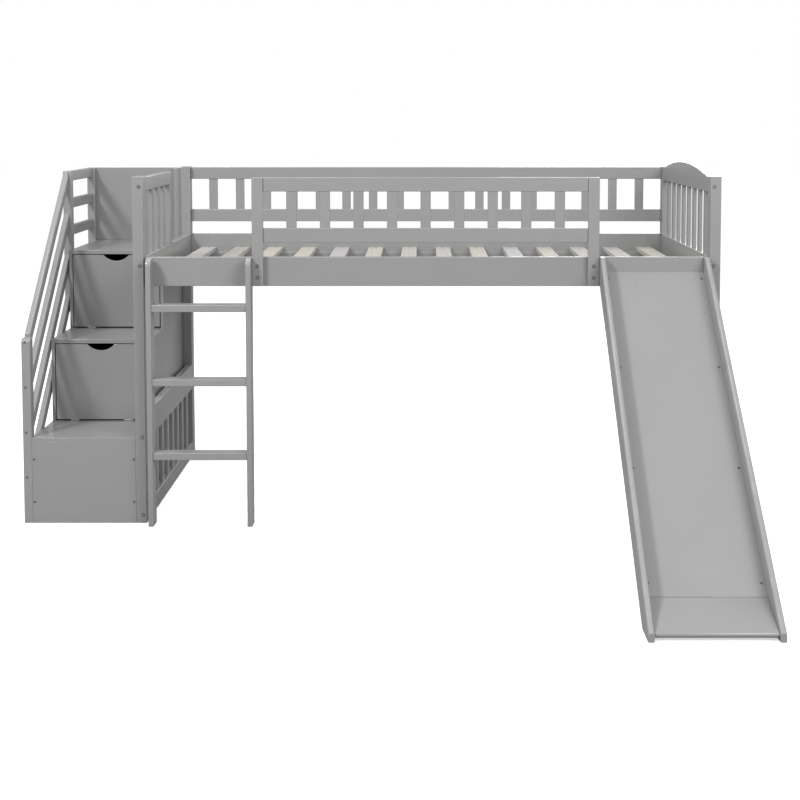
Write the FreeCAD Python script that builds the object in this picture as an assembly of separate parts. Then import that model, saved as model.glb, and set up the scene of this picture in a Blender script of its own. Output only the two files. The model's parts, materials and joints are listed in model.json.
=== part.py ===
"""Low loft bed with storage stairs, a ladder and a slide, made as separate pieces.

Sizes are millimetres. The pieces are laid out with X along the bed (0 at its middle), Y from the
bed's front plane (0) towards the rear and Z up from the floor. write_parts then moves them all so
that the origin is the bottom centre of the whole object's box.
"""

import FreeCAD, Part
import math
import os

# Bed frame
BED_LENGTH = 2000.0
BED_DEPTH = 1065.0
POST_WIDTH = 36.0
POST_DEPTH = 57.0
POST_ABOVE_GUARD = 3.0
RAIL_TOP = 920.0
RAIL_HEIGHT = 100.0
SIDE_RAIL_THICK = 22.0
SIDE_RAIL_SETBACK = 13.0
END_RAIL_THICK = 25.0

# Mattress support
SLAT_COUNT = 14
SLAT_WIDTH = 60.0
SLAT_THICK = 18.0
SLAT_DROP = 55.0
SLAT_INSET = 72.0
SLAT_END_GAP = 1.0
CLEAT_SIZE = 25.0
BEAM_WIDTH = 40.0

# Upright slats of the guards and end panels
SPINDLE_WIDTH = 35.0
SPINDLE_THICK = 12.0
END_SPINDLES = 8

# Headboard
ARCH_BELOW_GUARD = 2.0
ARCH_END_HEIGHT = 50.0
ARCH_RISE = 38.0
ARCH_SHOULDER = 15.0

# Lower end panels
LOWER_FOOT_HEIGHT = 57.0
LOWER_RAIL_TOP = 379.0
LOWER_RAIL_HEIGHT = 99.0

# Guard beside the stair platform
LEFT_GUARD_LENGTH = 518.0
LEFT_GUARD_POST = 38.0
LEFT_SPINDLES = 4
LEFT_SPINDLE_PITCH = 111.0
LEFT_SPINDLE_LAST_GAP = 69.5

# Front and rear guards
GUARD_HEIGHT = 272.0
GUARD_BOARD = 48.0
GUARD_LOWER_HEIGHT = 100.0
GUARD_LOWER_BOARD = 50.0
GUARD_POST_WIDTH = 38.0
GUARD_POST_THICK = 20.0
GUARD_BOARD_THICK = 15.0
GUARD_POST_RISE = 2.0
FRONT_SPINDLES = 9
REAR_SPINDLES = 17
REAR_BOARD_THICK = 18.0

# Ladder
LADDER_WIDTH = 356.0
LADDER_POST_GAP = 14.0
LADDER_RAIL_THICK = 18.0
LADDER_RAIL_DEPTH = 62.0
LADDER_RISE = 2.0
LADDER_HEAD = 160.0
RUNG_THICK = 24.0
RUNG_DEPTH = 55.0
RUNG_COUNT = 3

# Stairs
STAIR_TIERS = 3
STAIR_WIDTH = 356.0
PLATFORM_DROP = 27.5
STAIR_RUN = 287.0
STAIR_PANEL = 12.0
TREAD_THICK = 15.0
FRONT_PANEL_THICK = 15.0
STAIR_POST_WIDTH = 30.0
SHORT_POST_DEPTH = 38.0
SHORT_POST_ABOVE_TREAD = 343.5
SHORT_POST_BEVEL = 10.0
TALL_POST_SETBACK = 46.0
TALL_POST_DEPTH = 40.0
TALL_POST_BELOW_RAIL = 41.0
PLATFORM_GUARD_HEIGHT = 297.5
REAR_POST_DEPTH = 45.0
REAR_RIGHT_POST = 34.0
HANDRAIL_COUNT = 4
HANDRAIL_WIDTH = 38.0
HANDRAIL_THICK = 20.0
HANDRAIL_INSET = 2.0
HANDRAIL_BELOW_SHORT_POST = 13.0
HANDRAIL_BELOW_TALL_POST = 29.0
HANDRAIL_DROP = 156.0
HANDRAIL_ROUND = 5.0
SIDE_BOARD_COUNT = 3
SIDE_BOARD_HEIGHT = 38.0
SIDE_BOARD_PITCH = 104.5

# Flap doors and their hinges
DOOR_THICK = 15.0
DOOR_SIDE_GAP = 3.0
DOOR_TOP_GAP = 3.0
DOOR_BOTTOM_GAP = 5.0
NOTCH_WIDTH = 97.0
NOTCH_DEPTH = 23.0
HINGE_LENGTH = 30.0
HINGE_INSET = 67.0
HINGE_LEAF = 14.0
HINGE_PLATE = 1.2
KNUCKLE_RADIUS = 2.1
PIN_RADIUS = 1.2
PIN_CLEARANCE = 0.08
KNUCKLE_GAP = 0.4
MIDDLE_KNUCKLE = 11.0
CATCH_SIZE = (30.0, 12.0, 10.0)
CATCH_OFFSET = 100.0
CATCH_GAP = 0.3
STRIKE_SIZE = (25.0, 0.8, 8.0)

# Slide
SLIDE_WIDTH = 371.0
SLIDE_GAP = 0.5
SLIDE_POST_GAP = 5.5
SLIDE_ANGLE = 38.63
SLIDE_BOARD_WIDTH = 94.5
SLIDE_BOARD_THICK = 18.0
SLIDE_RISE = 2.0
SLIDE_TOP_START = -36.0
SLIDE_FRONT_HEIGHT = 27.0
SLIDE_PANEL_DEPTH = 59.0
SLIDE_PANEL_THICK = 9.0
SLIDE_LIP_FRONT = 6.0
SLIDE_LIP_TOP = 21.5
SLIDE_LANDING_LENGTH = 148.0
SLIDE_LANDING_THICK = 16.0
SLIDE_CREASE_GAP = 1.5
SLIDE_BACK_THICK = 18.0
SLIDE_BATTENS = 4
SLIDE_BATTEN_FIRST = 33.0
SLIDE_BATTEN_LAST = 44.0
SLIDE_BATTEN_WIDTH = 40.0
SLIDE_BATTEN_HEIGHT = 18.0

# Fasteners: head radius, head height, shank radius
BOLT = (6.0, 4.0, 3.0)
SCREW = (4.0, 2.5, 1.8)
SHANK_CLEARANCE = 0.25
HEAD_CLEARANCE = 0.25
NUT_RADIUS = 5.0
NUT_LENGTH = 14.0
NUT_SETBACK = 26.0
BOLT_PAST_NUT = 9.0
HOLE_PAST_BOLT = 1.0

# Where the bolts and screws go: drops and rises are from an edge of the rail or board they hold
END_BOLT_DROP = 30.0
LOWER_BOLT_RISE = 20.0
ARCH_BOLT_DROP = 32.0
SIDE_BOLT_DROP = 20.0
SIDE_BOLT_RISE = 25.0
GUARD_BOLT_DROPS = (30.0, 69.0)
GUARD_BOLT_LENGTH = 40.0
LADDER_BOLT_LENGTH = 50.0
SLIDE_BOLT_DROP = 20.0
SLIDE_BOLT_INSET = 60.0
SLIDE_BOLT_LENGTH = 36.0
STAIR_BOLT_LENGTH = 40.0
SLAT_SCREW_LENGTH = 32.0
RUNG_SCREW_LENGTH = 45.0
PANEL_SCREW_LENGTH = 40.0
PANEL_SCREW_SHIFT = 1.0
HANDRAIL_SCREW_REACH = 25.0
SHORT_POST_SCREW_INSET = 11.4
TALL_POST_SCREW_RISE = 30.0
TALL_POST_SCREW_DROP = 60.0
POST_SCREW_SHORT = 3.0
BATTEN_SCREW_INSET = 10.0
BATTEN_SCREW_LENGTH = 22.0

# Heights of the screws in the lowest stair box, as shares of one stair rise
PANEL_SCREW_SHARES = (0.25, 0.75)
SHORT_POST_SCREW_SHARES = (0.33, 0.8)

# Places worked out from the sizes above
LEFT = -BED_LENGTH / 2
RIGHT = BED_LENGTH / 2
INNER_LEFT = LEFT + POST_WIDTH
INNER_RIGHT = RIGHT - POST_WIDTH
END_FRONT = POST_DEPTH
END_REAR = BED_DEPTH - POST_DEPTH
RAIL_BOTTOM = RAIL_TOP - RAIL_HEIGHT
RAIL_FRONT = SIDE_RAIL_SETBACK
RAIL_BACK = RAIL_FRONT + SIDE_RAIL_THICK
REAR_RAIL_FRONT = BED_DEPTH - RAIL_BACK
REAR_RAIL_BACK = BED_DEPTH - RAIL_FRONT
SLAT_TOP = RAIL_TOP - SLAT_DROP
SLAT_BOTTOM = SLAT_TOP - SLAT_THICK
GUARD_TOP = RAIL_TOP + GUARD_HEIGHT
POST_HEIGHT = GUARD_TOP + POST_ABOVE_GUARD
GUARD_LOWER_TOP = RAIL_TOP + GUARD_LOWER_HEIGHT
GUARD_LOWER = GUARD_LOWER_TOP - GUARD_LOWER_BOARD
GUARD_POST_FOOT = RAIL_BOTTOM + GUARD_POST_RISE
ARCH_END_TOP = GUARD_TOP - ARCH_BELOW_GUARD
ARCH_BOTTOM = ARCH_END_TOP - ARCH_END_HEIGHT
LADDER_OPENING = LADDER_WIDTH + LADDER_POST_GAP
SLIDE_OPENING = SLIDE_GAP + SLIDE_WIDTH + SLIDE_POST_GAP
GUARD_LEFT = INNER_LEFT + LADDER_OPENING
GUARD_RIGHT = INNER_RIGHT - SLIDE_OPENING
LADDER_TOP = RAIL_TOP + LADDER_RISE
RUNG_PITCH = (LADDER_TOP - LADDER_HEAD) / RUNG_COUNT
STAIR_RISE = (RAIL_TOP - PLATFORM_DROP) / STAIR_TIERS
PLATFORM_TOP = STAIR_TIERS * STAIR_RISE
STAIR_LEFT = LEFT - STAIR_WIDTH
STAIR_INNER_LEFT = STAIR_LEFT + STAIR_PANEL
STAIR_INNER_RIGHT = LEFT - STAIR_PANEL
STAIR_BACK = BED_DEPTH - STAIR_PANEL
STAIR_OUTER = STAIR_LEFT - STAIR_POST_WIDTH
STAIR_MIDDLE = (STAIR_LEFT + LEFT) / 2
HANDRAIL_X = STAIR_OUTER + HANDRAIL_INSET + HANDRAIL_THICK / 2
STAIR_REAR_POST_FRONT = BED_DEPTH - REAR_POST_DEPTH
STAIR_POST_TOP = PLATFORM_TOP + PLATFORM_GUARD_HEIGHT
SHORT_POST_HEIGHT = STAIR_RISE + SHORT_POST_ABOVE_TREAD
TALL_POST_FRONT = (STAIR_TIERS - 1) * STAIR_RUN + TALL_POST_SETBACK
HANDRAIL_LOW = SHORT_POST_HEIGHT - HANDRAIL_BELOW_SHORT_POST
HANDRAIL_HIGH = STAIR_POST_TOP - HANDRAIL_BELOW_TALL_POST
TALL_POST_FOOT = HANDRAIL_HIGH - (HANDRAIL_COUNT - 1) * HANDRAIL_DROP - TALL_POST_BELOW_RAIL
SLIDE_LEFT = GUARD_RIGHT + SLIDE_GAP
SLIDE_RIGHT = SLIDE_LEFT + SLIDE_WIDTH
SLIDE_INNER_LEFT = SLIDE_LEFT + SLIDE_BOARD_THICK
SLIDE_INNER_RIGHT = SLIDE_RIGHT - SLIDE_BOARD_THICK
SLIDE_SLOPE = math.tan(math.radians(SLIDE_ANGLE))
SLIDE_DROP = SLIDE_BOARD_WIDTH / math.cos(math.radians(SLIDE_ANGLE))
SLIDE_TOP = RAIL_TOP + SLIDE_RISE
SLIDE_FRONT = SLIDE_TOP_START - (SLIDE_TOP - SLIDE_FRONT_HEIGHT) / SLIDE_SLOPE
SLIDE_BACK_FRONT = RAIL_FRONT - SLIDE_BACK_THICK

pieces = {}
fasteners = {}


def keep(name, *solids):
    """Store a piece, or a group of separate solids, under its name."""
    pieces[name] = solids[0] if len(solids) == 1 else Part.makeCompound(list(solids))


def board(x, y, z):
    """A board that fills the ranges x, y and z, each given as (low, high)."""
    corner = FreeCAD.Vector(x[0], y[0], z[0])
    return Part.makeBox(x[1] - x[0], y[1] - y[0], z[1] - z[0], corner)


def side_profile(edges, x):
    """Extrude a closed outline, drawn in the YZ plane at X = 0, across the range x."""
    face = Part.Face(Part.Wire(edges))
    solid = face.extrude(FreeCAD.Vector(x[1] - x[0], 0, 0))
    solid.translate(FreeCAD.Vector(x[0], 0, 0))
    return solid


def yz(y, z):
    return FreeCAD.Vector(0, y, z)


def side_polygon(points, x):
    """Extrude the polygon through (y, z) points across the range x."""
    corners = [yz(y, z) for y, z in points]
    closed = corners + corners[:1]
    return side_profile([Part.LineSegment(a, b).toShape() for a, b in zip(closed, closed[1:])], x)


def row(low, high, count, width):
    """Start places of equal pieces of one width, with equal gaps between them and at both ends."""
    gap = (high - low - count * width) / (count + 1)
    return [low + gap + k * (width + gap) for k in range(count)]


def rod(point, direction, start, end, radius):
    """A round rod along direction, from start to end measured from point."""
    origin = FreeCAD.Vector(*point) + FreeCAD.Vector(*direction) * start
    return Part.makeCylinder(radius, end - start, origin, FreeCAD.Vector(*direction))


def fasten(node, kind, point, direction, length, through, pocket=0.0):
    """Add a flush-headed bolt or screw that starts at point, and drill the pieces it goes through."""
    head, height, shank = kind
    solid = rod(point, direction, 0, height, head).fuse(rod(point, direction, 0, length, shank))
    fasteners.setdefault(node, []).append(solid.removeSplitter().Solids[0])
    wide = rod(point, direction, -pocket, height, head + HEAD_CLEARANCE)
    deep = rod(point, direction, 0, length + SHANK_CLEARANCE, shank + SHANK_CLEARANCE)
    drill(wide.fuse(deep), through)


def drill(cutter, names):
    for name in names:
        pieces[name] = pieces[name].cut(cutter)


def bolt_with_nut(point, direction, post_size, nut_axis, through):
    """Bolt a post to the end of a rail: a bolt through the post and a barrel nut in the rail."""
    reach = post_size + NUT_SETBACK
    length = reach + BOLT_PAST_NUT
    fasten("frame_bolts", BOLT, point, direction, length, through)
    centre = FreeCAD.Vector(*point) + FreeCAD.Vector(*direction) * reach
    middle = (centre.x, centre.y, centre.z)
    nut = rod(middle, nut_axis, -NUT_LENGTH / 2, NUT_LENGTH / 2, NUT_RADIUS)
    pocket = rod(middle, nut_axis, -NUT_LENGTH / 2, NUT_LENGTH / 2, NUT_RADIUS + HEAD_CLEARANCE)
    hole = rod(point, direction, 0, length + HOLE_PAST_BOLT, BOLT[2] + SHANK_CLEARANCE)
    fasteners.setdefault("barrel_nuts", []).append(nut.cut(hole))
    drill(pocket, through[1:])


def bed_posts():
    left = (LEFT, INNER_LEFT)
    right = (INNER_RIGHT, RIGHT)
    front = (0, POST_DEPTH)
    rear = (END_REAR, BED_DEPTH)
    height = (0, POST_HEIGHT)
    keep("front_left_post", board(left, front, height))
    keep("front_right_post", board(right, front, height))
    keep("rear_left_post", board(left, rear, height))
    keep("rear_right_post", board(right, rear, height))


def bed_rails():
    span = (INNER_LEFT, INNER_RIGHT)
    height = (RAIL_BOTTOM, RAIL_TOP)
    between = (END_FRONT, END_REAR)
    keep("front_side_rail", board(span, (RAIL_FRONT, RAIL_BACK), height))
    keep("rear_side_rail", board(span, (REAR_RAIL_FRONT, REAR_RAIL_BACK), height))
    keep("left_end_rail", board((INNER_LEFT - END_RAIL_THICK, INNER_LEFT), between, height))
    keep("right_end_rail", board((INNER_RIGHT, INNER_RIGHT + END_RAIL_THICK), between, height))


def mattress_support():
    """Cleats along both side rails, a beam down the middle and the row of slats on them."""
    span = (INNER_LEFT, INNER_RIGHT)
    height = (SLAT_BOTTOM - CLEAT_SIZE, SLAT_BOTTOM)
    front_cleat = board(span, (RAIL_BACK, RAIL_BACK + CLEAT_SIZE), height)
    rear_cleat = board(span, (REAR_RAIL_FRONT - CLEAT_SIZE, REAR_RAIL_FRONT), height)
    keep("slat_cleats", front_cleat, rear_cleat)
    middle = BED_DEPTH / 2
    keep("centre_beam", board(span, (middle - BEAM_WIDTH / 2, middle + BEAM_WIDTH / 2), height))
    depth = (RAIL_BACK + SLAT_END_GAP, REAR_RAIL_FRONT - SLAT_END_GAP)
    thick = (SLAT_BOTTOM, SLAT_TOP)
    slats = [board((c - SLAT_WIDTH / 2, c + SLAT_WIDTH / 2), depth, thick) for c in slat_centres()]
    keep("bed_slats", *slats)


def slat_centres():
    pitch = (INNER_RIGHT - INNER_LEFT - 2 * SLAT_INSET) / (SLAT_COUNT - 1)
    return [INNER_LEFT + SLAT_INSET + k * pitch for k in range(SLAT_COUNT)]


def end_spindles(inner, side, starts, z):
    """Upright slats centred in the thickness of an end's rails; side is -1 at the left end."""
    middle = inner + side * END_RAIL_THICK / 2
    x = (middle - SPINDLE_THICK / 2, middle + SPINDLE_THICK / 2)
    return [board(x, (start, start + SPINDLE_WIDTH), z) for start in starts]


def headboard():
    first = END_FRONT + ARCH_SHOULDER
    last = END_REAR - ARCH_SHOULDER
    crown = yz(BED_DEPTH / 2, ARCH_END_TOP + ARCH_RISE)
    arch = Part.Arc(yz(first, ARCH_END_TOP), crown, yz(last, ARCH_END_TOP)).toShape()
    corners = [
        yz(last, ARCH_END_TOP),
        yz(END_REAR, ARCH_END_TOP),
        yz(END_REAR, ARCH_BOTTOM),
        yz(END_FRONT, ARCH_BOTTOM),
        yz(END_FRONT, ARCH_END_TOP),
        yz(first, ARCH_END_TOP),
    ]
    lines = [Part.LineSegment(a, b).toShape() for a, b in zip(corners, corners[1:])]
    x = (INNER_RIGHT, INNER_RIGHT + END_RAIL_THICK)
    keep("headboard_arch_rail", side_profile([arch] + lines, x))
    starts = row(END_FRONT, END_REAR, END_SPINDLES, SPINDLE_WIDTH)
    keep("headboard_slats", *end_spindles(INNER_RIGHT, 1, starts, (RAIL_TOP, ARCH_BOTTOM)))


def left_guard():
    """Guard on the front half of the left end; the rear half is open to the stair platform."""
    x = (INNER_LEFT - END_RAIL_THICK, INNER_LEFT)
    post_end = END_FRONT + LEFT_GUARD_LENGTH
    post_start = post_end - LEFT_GUARD_POST
    top = (GUARD_TOP - GUARD_BOARD, GUARD_TOP)
    keep("left_guard_top_rail", board(x, (END_FRONT, post_start), top))
    keep("left_guard_end_post", board(x, (post_start, post_end), (RAIL_TOP, GUARD_TOP)))
    last = post_start - LEFT_SPINDLE_LAST_GAP - SPINDLE_WIDTH
    starts = [last - k * LEFT_SPINDLE_PITCH for k in range(LEFT_SPINDLES)]
    keep("left_guard_slats", *end_spindles(INNER_LEFT, -1, starts, (RAIL_TOP, top[0])))


def lower_end_panels():
    between = (END_FRONT, END_REAR)
    ends = (
        (INNER_LEFT - END_RAIL_THICK, INNER_LEFT),
        (INNER_RIGHT, INNER_RIGHT + END_RAIL_THICK),
    )
    rail = (LOWER_RAIL_TOP - LOWER_RAIL_HEIGHT, LOWER_RAIL_TOP)
    keep("lower_end_top_rails", *[board(x, between, rail) for x in ends])
    keep("lower_end_foot_rails", *[board(x, between, (0, LOWER_FOOT_HEIGHT)) for x in ends])
    starts = row(END_FRONT, END_REAR, END_SPINDLES, SPINDLE_WIDTH)
    z = (LOWER_FOOT_HEIGHT, rail[0])
    left = end_spindles(INNER_LEFT, -1, starts, z)
    right = end_spindles(INNER_RIGHT, 1, starts, z)
    keep("lower_end_slats", *left, *right)


def front_guard():
    post_y = (RAIL_FRONT - GUARD_POST_THICK, RAIL_FRONT)
    post_z = (GUARD_POST_FOOT, GUARD_TOP)
    left_post = board((GUARD_LEFT, GUARD_LEFT + GUARD_POST_WIDTH), post_y, post_z)
    right_post = board((GUARD_RIGHT - GUARD_POST_WIDTH, GUARD_RIGHT), post_y, post_z)
    keep("front_guard_posts", left_post, right_post)
    span = (GUARD_LEFT + GUARD_POST_WIDTH, GUARD_RIGHT - GUARD_POST_WIDTH)
    board_y = (RAIL_FRONT - GUARD_BOARD_THICK, RAIL_FRONT)
    top = GUARD_TOP - GUARD_BOARD
    keep("front_guard_top_board", board(span, board_y, (top, GUARD_TOP)))
    keep("front_guard_lower_board", board(span, board_y, (GUARD_LOWER, GUARD_LOWER_TOP)))
    middle = (board_y[0] + board_y[1]) / 2
    y = (middle - SPINDLE_THICK / 2, middle + SPINDLE_THICK / 2)
    starts = row(span[0], span[1], FRONT_SPINDLES, SPINDLE_WIDTH)
    slats = [board((s, s + SPINDLE_WIDTH), y, (GUARD_LOWER_TOP, top)) for s in starts]
    keep("front_guard_slats", *slats)


def rear_guard():
    span = (INNER_LEFT, INNER_RIGHT)
    middle = (REAR_RAIL_FRONT + REAR_RAIL_BACK) / 2
    y = (middle - REAR_BOARD_THICK / 2, middle + REAR_BOARD_THICK / 2)
    top = GUARD_TOP - GUARD_BOARD
    keep("rear_guard_top_board", board(span, y, (top, GUARD_TOP)))
    keep("rear_guard_middle_board", board(span, y, (GUARD_LOWER, GUARD_LOWER_TOP)))
    slat_y = (middle - SPINDLE_THICK / 2, middle + SPINDLE_THICK / 2)
    starts = row(span[0], span[1], REAR_SPINDLES, SPINDLE_WIDTH)
    slats = [board((s, s + SPINDLE_WIDTH), slat_y, (GUARD_LOWER_TOP, top)) for s in starts]
    keep("rear_guard_slats", *slats)


def ladder_places():
    """X ranges of the two ladder rails; the right one stands against the front guard."""
    right = (GUARD_LEFT - LADDER_RAIL_THICK, GUARD_LEFT)
    left = (GUARD_LEFT - LADDER_WIDTH, GUARD_LEFT - LADDER_WIDTH + LADDER_RAIL_THICK)
    return left, right


def ladder():
    front = RAIL_FRONT - LADDER_RAIL_DEPTH
    radius = LADDER_RAIL_DEPTH / 2
    spring = LADDER_TOP - radius
    crown = yz(front + radius, LADDER_TOP)
    cap = Part.Arc(yz(front, spring), crown, yz(RAIL_FRONT, spring)).toShape()
    corners = [yz(RAIL_FRONT, spring), yz(RAIL_FRONT, 0), yz(front, 0), yz(front, spring)]
    lines = [Part.LineSegment(a, b).toShape() for a, b in zip(corners, corners[1:])]
    left, right = ladder_places()
    keep("ladder_rails", side_profile([cap] + lines, left), side_profile([cap] + lines, right))
    middle = front + radius
    y = (middle - RUNG_DEPTH / 2, middle + RUNG_DEPTH / 2)
    tops = [RUNG_PITCH * (k + 1) for k in range(RUNG_COUNT)]
    keep("ladder_rungs", *[board((left[1], right[0]), y, (t - RUNG_THICK, t)) for t in tops])


def tier_front(tier):
    """Y of the front of a stair tier, where 0 is the lowest."""
    return tier * STAIR_RUN


def tread_top(tier):
    return (tier + 1) * STAIR_RISE


def tier_middle(tier):
    return (tier + 0.5) * STAIR_RISE


def stair_boxes():
    """Three stacked open boxes: side panels, a tread on each, a front panel and a back panel."""
    width = (STAIR_LEFT, LEFT)
    names = ("lower", "middle", "upper")
    for tier, name in enumerate(names):
        front = tier_front(tier) + (FRONT_PANEL_THICK if tier == 0 else 0)
        z = (tier * STAIR_RISE, tread_top(tier) - TREAD_THICK)
        y = (front, STAIR_BACK)
        left = board((STAIR_LEFT, STAIR_INNER_LEFT), y, z)
        right = board((STAIR_INNER_RIGHT, LEFT), y, z)
        keep("stair_" + name + "_sides", left, right)
        tread_z = (z[1], tread_top(tier))
        keep("stair_" + name + "_tread", board(width, (tier_front(tier), STAIR_BACK), tread_z))
    keep("stair_front_panel", board(width, (0, FRONT_PANEL_THICK), (0, STAIR_RISE - TREAD_THICK)))
    keep("stair_back_panel", board(width, (STAIR_BACK, BED_DEPTH), (0, PLATFORM_TOP)))


def stair_posts():
    x = (STAIR_OUTER, STAIR_LEFT)
    short = [
        (0, 0),
        (SHORT_POST_DEPTH, 0),
        (SHORT_POST_DEPTH, SHORT_POST_HEIGHT),
        (SHORT_POST_BEVEL, SHORT_POST_HEIGHT),
        (0, SHORT_POST_HEIGHT - SHORT_POST_BEVEL),
    ]
    keep("stair_short_post", side_polygon(short, x))
    tall_y = (TALL_POST_FRONT, TALL_POST_FRONT + TALL_POST_DEPTH)
    keep("stair_tall_post", board(x, tall_y, (TALL_POST_FOOT, STAIR_POST_TOP)))
    rear_y = (STAIR_REAR_POST_FRONT, BED_DEPTH)
    keep("stair_rear_left_post", board(x, rear_y, (0, STAIR_POST_TOP)))
    corner_x = (LEFT - REAR_RIGHT_POST, LEFT)
    corner_y = (BED_DEPTH - REAR_RIGHT_POST, BED_DEPTH)
    keep("stair_rear_right_post", board(corner_x, corner_y, (PLATFORM_TOP, STAIR_POST_TOP)))
    panel_x = (STAIR_LEFT, corner_x[0])
    keep("stair_platform_back", board(panel_x, (STAIR_BACK, BED_DEPTH), (PLATFORM_TOP, STAIR_POST_TOP)))


def handrail_slope():
    return (HANDRAIL_HIGH - HANDRAIL_LOW) / (TALL_POST_FRONT - SHORT_POST_DEPTH)


def stair_railing():
    """Four slanted handrails up the stairs and three level boards beside the platform."""
    x = (HANDRAIL_X - HANDRAIL_THICK / 2, HANDRAIL_X + HANDRAIL_THICK / 2)
    half = HANDRAIL_WIDTH / 2 * math.sqrt(1 + handrail_slope() ** 2)
    rails = []
    for k in range(HANDRAIL_COUNT):
        low = HANDRAIL_LOW - k * HANDRAIL_DROP
        high = HANDRAIL_HIGH - k * HANDRAIL_DROP
        outline = [
            (SHORT_POST_DEPTH, low - half),
            (TALL_POST_FRONT, high - half),
            (TALL_POST_FRONT, high + half),
            (SHORT_POST_DEPTH, low + half),
        ]
        rails.append(rounded_long_edges(side_polygon(outline, x)))
    keep("stair_handrails", *rails)
    y = (TALL_POST_FRONT + TALL_POST_DEPTH, STAIR_REAR_POST_FRONT)
    tops = [STAIR_POST_TOP - k * SIDE_BOARD_PITCH for k in range(SIDE_BOARD_COUNT)]
    keep("stair_side_boards", *[board(x, y, (top - SIDE_BOARD_HEIGHT, top)) for top in tops])


def rounded_long_edges(rail):
    """Round the four edges that run along a handrail."""
    long_edges = [e for e in rail.Edges if e.Length > TALL_POST_FRONT - SHORT_POST_DEPTH]
    return rail.makeFillet(HANDRAIL_ROUND, long_edges)


def flap_door(tier):
    """A drop-front door with a half-moon finger notch in the middle of its top edge."""
    front = tier_front(tier)
    x = (STAIR_INNER_LEFT + DOOR_SIDE_GAP, STAIR_INNER_RIGHT - DOOR_SIDE_GAP)
    top = tread_top(tier) - TREAD_THICK - DOOR_TOP_GAP
    panel = board(x, (front, front + DOOR_THICK), (tread_top(tier - 1) + DOOR_BOTTOM_GAP, top))
    radius = (NOTCH_WIDTH ** 2 / 4 + NOTCH_DEPTH ** 2) / (2 * NOTCH_DEPTH)
    centre = (STAIR_MIDDLE, front, top + radius - NOTCH_DEPTH)
    return panel.cut(rod(centre, (0, 1, 0), -DOOR_THICK, 2 * DOOR_THICK, radius))


def hinge_centre_x():
    inset = DOOR_SIDE_GAP + HINGE_INSET
    return (STAIR_INNER_LEFT + inset, STAIR_INNER_RIGHT - inset)


def hinge(x, tier):
    """The fixed leaf with its pin, and the door leaf, of one small butt hinge under a door."""
    front = tier_front(tier)
    base = tread_top(tier - 1)
    axis = (x, front, base + DOOR_BOTTOM_GAP / 2)
    half = HINGE_LENGTH / 2
    inner = MIDDLE_KNUCKLE / 2
    y = (front, front + HINGE_LEAF)
    notch_y = (front - KNUCKLE_RADIUS, front + KNUCKLE_RADIUS + KNUCKLE_GAP)
    notch_z = (base, base + DOOR_BOTTOM_GAP)
    fixed = board((x - half, x + half), y, (base, base + HINGE_PLATE))
    fixed = fixed.cut(board((x - inner - KNUCKLE_GAP, x + inner + KNUCKLE_GAP), notch_y, notch_z))
    for start, end in ((-half, -inner - KNUCKLE_GAP), (inner + KNUCKLE_GAP, half)):
        fixed = fixed.fuse(rod(axis, (1, 0, 0), start, end, KNUCKLE_RADIUS))
    fixed = fixed.fuse(rod(axis, (1, 0, 0), -half, half, PIN_RADIUS))
    under_door = (base + DOOR_BOTTOM_GAP - HINGE_PLATE, base + DOOR_BOTTOM_GAP)
    moving = board((x - half, x + half), y, under_door)
    for start, end in ((-half, -inner), (inner, half)):
        moving = moving.cut(board((x + start, x + end), notch_y, notch_z))
    moving = moving.fuse(rod(axis, (1, 0, 0), -inner, inner, KNUCKLE_RADIUS))
    moving = moving.cut(rod(axis, (1, 0, 0), -half, half, PIN_RADIUS + PIN_CLEARANCE))
    return fixed.removeSplitter().Solids[0], moving.removeSplitter().Solids[0]


def flap_doors():
    fixed_leaves = []
    catches = []
    for tier, name in ((1, "lower"), (2, "upper")):
        keep(name + "_flap_door", flap_door(tier))
        leaves = [hinge(x, tier) for x in hinge_centre_x()]
        fixed_leaves += [fixed for fixed, _ in leaves]
        keep(name + "_door_hinge_leaves", *[moving for _, moving in leaves])
        back = tier_front(tier) + DOOR_THICK
        ceiling = tread_top(tier) - TREAD_THICK
        x = STAIR_MIDDLE + CATCH_OFFSET
        width, depth, height = STRIKE_SIZE
        top = ceiling - DOOR_TOP_GAP
        strike = board((x - width / 2, x + width / 2), (back, back + depth), (top - height, top))
        keep(name + "_door_strike", strike)
        start = back + depth + CATCH_GAP
        width, depth, height = CATCH_SIZE
        z = (ceiling - height, ceiling)
        catches.append(board((x - width / 2, x + width / 2), (start, start + depth), z))
    keep("fixed_hinge_leaves", *fixed_leaves)
    keep("door_catches", *catches)


def slide_edge(y):
    """Height of the top edge of a slide board at y, without its level stretch at the top."""
    return SLIDE_TOP + (y - SLIDE_TOP_START) * SLIDE_SLOPE


def slide_surface(y):
    """Height of the sliding surface at y."""
    return slide_edge(y) - SLIDE_PANEL_DEPTH / math.cos(math.radians(SLIDE_ANGLE))


def slide_crease():
    """Y where the slope meets the flatter landing."""
    return SLIDE_FRONT + SLIDE_LIP_FRONT + SLIDE_LANDING_LENGTH


def slide_boards():
    foot_back = SLIDE_TOP_START - (SLIDE_TOP - SLIDE_DROP) / SLIDE_SLOPE
    outline = [
        (RAIL_FRONT, SLIDE_TOP),
        (SLIDE_TOP_START, SLIDE_TOP),
        (SLIDE_FRONT, SLIDE_FRONT_HEIGHT),
        (SLIDE_FRONT, 0),
        (foot_back, 0),
        (RAIL_FRONT, slide_edge(RAIL_FRONT) - SLIDE_DROP),
    ]
    left = side_polygon(outline, (SLIDE_LEFT, SLIDE_INNER_LEFT))
    right = side_polygon(outline, (SLIDE_INNER_RIGHT, SLIDE_RIGHT))
    keep("slide_side_boards", left, right)


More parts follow.
